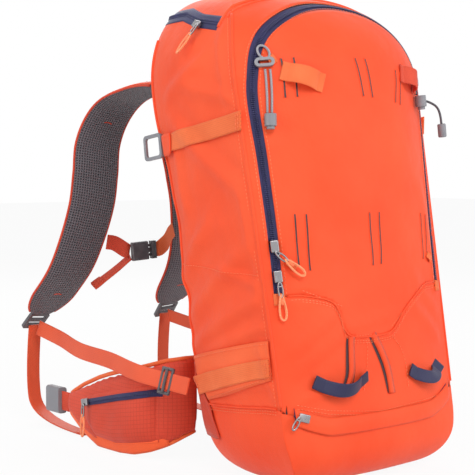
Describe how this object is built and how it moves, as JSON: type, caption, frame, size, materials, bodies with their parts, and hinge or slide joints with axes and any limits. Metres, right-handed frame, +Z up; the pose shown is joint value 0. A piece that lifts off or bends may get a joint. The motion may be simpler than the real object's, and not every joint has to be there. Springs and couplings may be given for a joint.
{
  "type": "ski backpack",
  "caption": "Ski touring backpack with a U-zip front pocket, zipped lid, padded shoulder straps and hip belt wings with pockets.",
  "frame": {"origin": "on the flat base, on the centre plane, near the middle of the base", "axes": "+Z up, -Y towards the front panel, +Y towards the wearer, +X to the right seen from the front"},
  "size_m": [0.3274, 0.5722, 0.5521],
  "materials": {
    "shell_fabric": "matte",
    "lining_fabric": "matte",
    "webbing": "matte",
    "mesh_foam": "matte",
    "wing_fabric": "matte",
    "zip_tape": "satin",
    "zip_metal": "satin",
    "grey_plastic": "satin",
    "dark_plastic": "satin",
    "cord": "matte",
    "frame_plastic": "satin",
    "stay_metal": "satin"
  },
  "bodies": {
    "pack": {"main_shell": "shell_fabric", "front_shell": "shell_fabric", "base_tub": "shell_fabric", "inner_panels": "lining_fabric", "frame_sheet": "frame_plastic", "frame_stays": "stay_metal", "back_pad": "mesh_foam", "lumbar_pad": "mesh_foam", "zip_tapes": "zip_tape", "side_webbings": "webbing", "stabiliser_panels": "wing_fabric", "hip_gussets": "wing_fabric", "lower_webbings": "webbing", "tool_loops": "zip_tape"},
    "flap": {"front_flap": "shell_fabric", "flap_zip_tape": "zip_tape", "tool_keepers": "webbing", "keeper_cords": "cord", "cord_locks": "grey_plastic", "free_cord": "cord", "cord_toggle": "grey_plastic"},
    "lid": {"main_lid": "shell_fabric", "lid_zip_tape": "zip_tape"},
    "haul": {"haul_loop": "webbing"},
    "strap_left": {"shoulder_strap_left": "mesh_foam", "webbing_tail_left": "webbing"},
    "strap_right": {"shoulder_strap_right": "mesh_foam", "webbing_tail_right": "webbing"},
    "lock_left": {"strap_ladder_lock_left": "dark_plastic"},
    "lock_right": {"strap_ladder_lock_right": "dark_plastic"},
    "sternum": {"sternum_webbings": "webbing", "sternum_buckle_socket": "dark_plastic", "sternum_buckle_plug": "dark_plastic"},
    "sternum_prong_upper": {"sternum_prong_upper": "dark_plastic"},
    "sternum_prong_lower": {"sternum_prong_lower": "dark_plastic"},
    "wing_left": {"hip_wing_left": "wing_fabric"},
    "wing_right": {"hip_wing_right": "wing_fabric"},
    "wing_slider_left": {"wing_slider_left": "zip_metal"},
    "wing_slider_right": {"wing_slider_right": "zip_metal"},
    "wing_pull_left": {"wing_pull_left": "zip_metal"},
    "wing_pull_right": {"wing_pull_right": "zip_metal"},
    "belt_left": {"belt_webbing_left": "webbing", "waist_buckle_socket": "grey_plastic"},
    "belt_right": {"belt_webbing_right": "webbing", "waist_buckle_plug": "grey_plastic"},
    "waist_prong_upper": {"waist_prong_upper": "grey_plastic"},
    "waist_prong_lower": {"waist_prong_lower": "grey_plastic"},
    "side_hook_left": {"side_hook_left": "grey_plastic"},
    "side_hook_right": {"side_hook_right": "grey_plastic"},
    "keeper_hook": {"keeper_hook": "grey_plastic"},
    "cord_button_left": {"cord_button_left": "grey_plastic"},
    "cord_button_right": {"cord_button_right": "grey_plastic"},
    "front_upper_slider": {"front_upper_slider": "zip_metal"},
    "front_upper_pull": {"front_upper_pull": "zip_metal"},
    "front_lower_slider": {"front_lower_slider": "zip_metal"},
    "front_lower_pull": {"front_lower_pull": "zip_metal"},
    "base_slider": {"base_slider": "zip_metal"},
    "base_pull": {"base_pull": "zip_metal"},
    "main_slider": {"main_slider": "zip_metal"},
    "main_pull": {"main_pull": "zip_metal"}
  },
  "joints": [
    {"name": "front_flap_hinge", "type": "hinge", "parent": "pack", "child": "flap", "pos_m": [0, -0.09611, 0.27], "axis": [1, 0, 0], "range_deg": [0, 95]},
    {"name": "main_lid_hinge", "type": "hinge", "parent": "pack", "child": "lid", "pos_m": [0, 0.02, 0.5475], "axis": [1, 0, 0], "range_deg": [0, 85]},
    {"name": "haul_loop_hinge", "type": "hinge", "parent": "pack", "child": "haul", "pos_m": [0, 0.19949, 0.484], "axis": [1, 0, 0], "range_deg": [-60, 8]},
    {"name": "front_upper_slide", "type": "slide", "parent": "pack", "child": "front_upper_slider", "axis": [-0.0346, 0.165, 0.9857], "range_m": [0, 0.12]},
    {"name": "front_lower_slide", "type": "slide", "parent": "pack", "child": "front_lower_slider", "axis": [-0.0341, 0.1658, 0.9856], "range_m": [0, 0.008]},
    {"name": "base_slide", "type": "slide", "parent": "pack", "child": "base_slider", "axis": [0.9171, -0.2853, -0.2783], "range_m": [0, 0.03]},
    {"name": "main_slide", "type": "slide", "parent": "pack", "child": "main_slider", "axis": [0.1436, 0.9622, 0.2316], "range_m": [0, 0.025]},
    {"name": "front_upper_pull_hinge", "type": "hinge", "parent": "front_upper_slider", "child": "front_upper_pull", "pos_m": [-0.12756, -0.07566, 0.26052], "axis": [0.5966, -0.1832, 0.7814], "range_deg": [-160, 0]},
    {"name": "front_lower_pull_hinge", "type": "hinge", "parent": "front_lower_slider", "child": "front_lower_pull", "pos_m": [-0.12683, -0.08051, 0.22849], "axis": [0.9113, -0.3996, 0.0988], "range_deg": [-160, 0]},
    {"name": "base_pull_hinge", "type": "hinge", "parent": "base_slider", "child": "base_pull", "pos_m": [-0.11974, -0.10564, 0.08768], "axis": [0.778, -0.2875, -0.5586], "range_deg": [-150, 0]},
    {"name": "main_pull_hinge", "type": "hinge", "parent": "main_slider", "child": "main_pull", "pos_m": [-0.13249, 0.05177, 0.51103], "axis": [-0.2128, -0.9149, -0.3432], "range_deg": [-150, 0]},
    {"name": "shoulder_strap_left_hinge", "type": "hinge", "parent": "pack", "child": "strap_left", "pos_m": [-0.052, 0.19873, 0.45], "axis": [1, 0, 0], "range_deg": [0, 25], "stiffness_Nm_per_rad": 6, "deforming": ["lower_webbings"]},
    {"name": "shoulder_strap_right_hinge", "type": "hinge", "parent": "pack", "child": "strap_right", "pos_m": [0.052, 0.19873, 0.45], "axis": [1, 0, 0], "range_deg": [0, 25], "stiffness_Nm_per_rad": 6},
    {"name": "ladder_lock_left_hinge", "type": "hinge", "parent": "strap_left", "child": "lock_left", "pos_m": [-0.11009, 0.42856, 0.14944], "axis": [1, 0, 0], "range_deg": [-20, 20], "deforming": ["webbing_tail_left"]},
    {"name": "ladder_lock_right_hinge", "type": "hinge", "parent": "strap_right", "child": "lock_right", "pos_m": [0.11009, 0.42856, 0.14944], "axis": [1, 0, 0], "range_deg": [-20, 20], "deforming": ["webbing_tail_right"]},
    {"name": "sternum_slide", "type": "slide", "parent": "strap_left", "child": "sternum", "axis": [0, -0.3, 0.9539], "range_m": [-0.02, 0]},
    {"name": "sternum_prong_upper_press", "type": "slide", "parent": "sternum", "child": "sternum_prong_upper", "axis": [0.0767, -0.0153, -0.9969], "range_m": [0, 0.0012], "stiffness_N_per_m": 800},
    {"name": "waist_prong_upper_press", "type": "slide", "parent": "belt_right", "child": "waist_prong_upper", "axis": [0, 0, -1], "range_m": [0, 0.003], "stiffness_N_per_m": 800},
    {"name": "sternum_prong_lower_press", "type": "slide", "parent": "sternum", "child": "sternum_prong_lower", "axis": [-0.0767, 0.0153, 0.9969], "range_m": [0, 0.0012], "stiffness_N_per_m": 800},
    {"name": "waist_prong_lower_press", "type": "slide", "parent": "belt_right", "child": "waist_prong_lower", "axis": [0, 0, 1], "range_m": [0, 0.003], "stiffness_N_per_m": 800},
    {"name": "hip_wing_left_hinge", "type": "hinge", "parent": "pack", "child": "wing_left", "pos_m": [-0.084, 0.112, 0.08], "axis": [0, 0, 1], "range_deg": [-22, 10]},
    {"name": "hip_wing_right_hinge", "type": "hinge", "parent": "pack", "child": "wing_right", "pos_m": [0.084, 0.112, 0.08], "axis": [0, 0, -1], "range_deg": [-22, 10]},
    {"name": "wing_left_slide", "type": "slide", "parent": "wing_left", "child": "wing_slider_left", "axis": [0, -0.9738, 0.2272], "range_m": [0, 0.09]},
    {"name": "wing_right_slide", "type": "slide", "parent": "wing_right", "child": "wing_slider_right", "axis": [0, -0.9738, 0.2272], "range_m": [0, 0.09]},
    {"name": "wing_left_pull_hinge", "type": "hinge", "parent": "wing_slider_left", "child": "wing_pull_left", "pos_m": [-0.16175, 0.246, 0.0558], "axis": [0, 1, 0], "range_deg": [0, 100]},
    {"name": "wing_right_pull_hinge", "type": "hinge", "parent": "wing_slider_right", "child": "wing_pull_right", "pos_m": [0.16175, 0.246, 0.0558], "axis": [0, -1, 0], "range_deg": [0, 100]},
    {"name": "belt_left_hinge", "type": "hinge", "parent": "wing_left", "child": "belt_left", "pos_m": [-0.141, 0.30935, 0.047], "axis": [0, 0, 1], "range_deg": [-40, 40]},
    {"name": "belt_right_hinge", "type": "hinge", "parent": "wing_right", "child": "belt_right", "pos_m": [0.141, 0.30935, 0.047], "axis": [0, 0, -1], "range_deg": [-40, 40]},
    {"name": "side_hook_left_hinge", "type": "hinge", "parent": "pack", "child": "side_hook_left", "pos_m": [-0.13031, 0.12, 0.376], "axis": [0, 0, 1], "range_deg": [0, 60]},
    {"name": "side_hook_right_hinge", "type": "hinge", "parent": "pack", "child": "side_hook_right", "pos_m": [0.13031, 0.12, 0.376], "axis": [0, 0, -1], "range_deg": [0, 60]},
    {"name": "keeper_hook_swivel", "type": "hinge", "parent": "flap", "child": "keeper_hook", "pos_m": [-0.11808, -0.04546, 0.46248], "axis": [-0.5661, -0.7846, 0.253], "range_deg": [-15, 15]},
    {"name": "cord_button_left_press", "type": "slide", "parent": "flap", "child": "cord_button_left", "axis": [0.0595, 0.0932, 0.9939], "range_m": [0, 0.0035], "stiffness_N_per_m": 500},
    {"name": "cord_button_right_press", "type": "slide", "parent": "flap", "child": "cord_button_right", "axis": [-0.0542, 0.088, 0.9946], "range_m": [0, 0.0035], "stiffness_N_per_m": 500}
  ],
  "couplings": [
    {"joint": "shoulder_strap_right_hinge", "follows": "shoulder_strap_left_hinge", "ratio": 1},
    {"joint": "sternum_prong_lower_press", "follows": "sternum_prong_upper_press", "ratio": 1},
    {"joint": "waist_prong_lower_press", "follows": "waist_prong_upper_press", "ratio": 1}
  ]
}
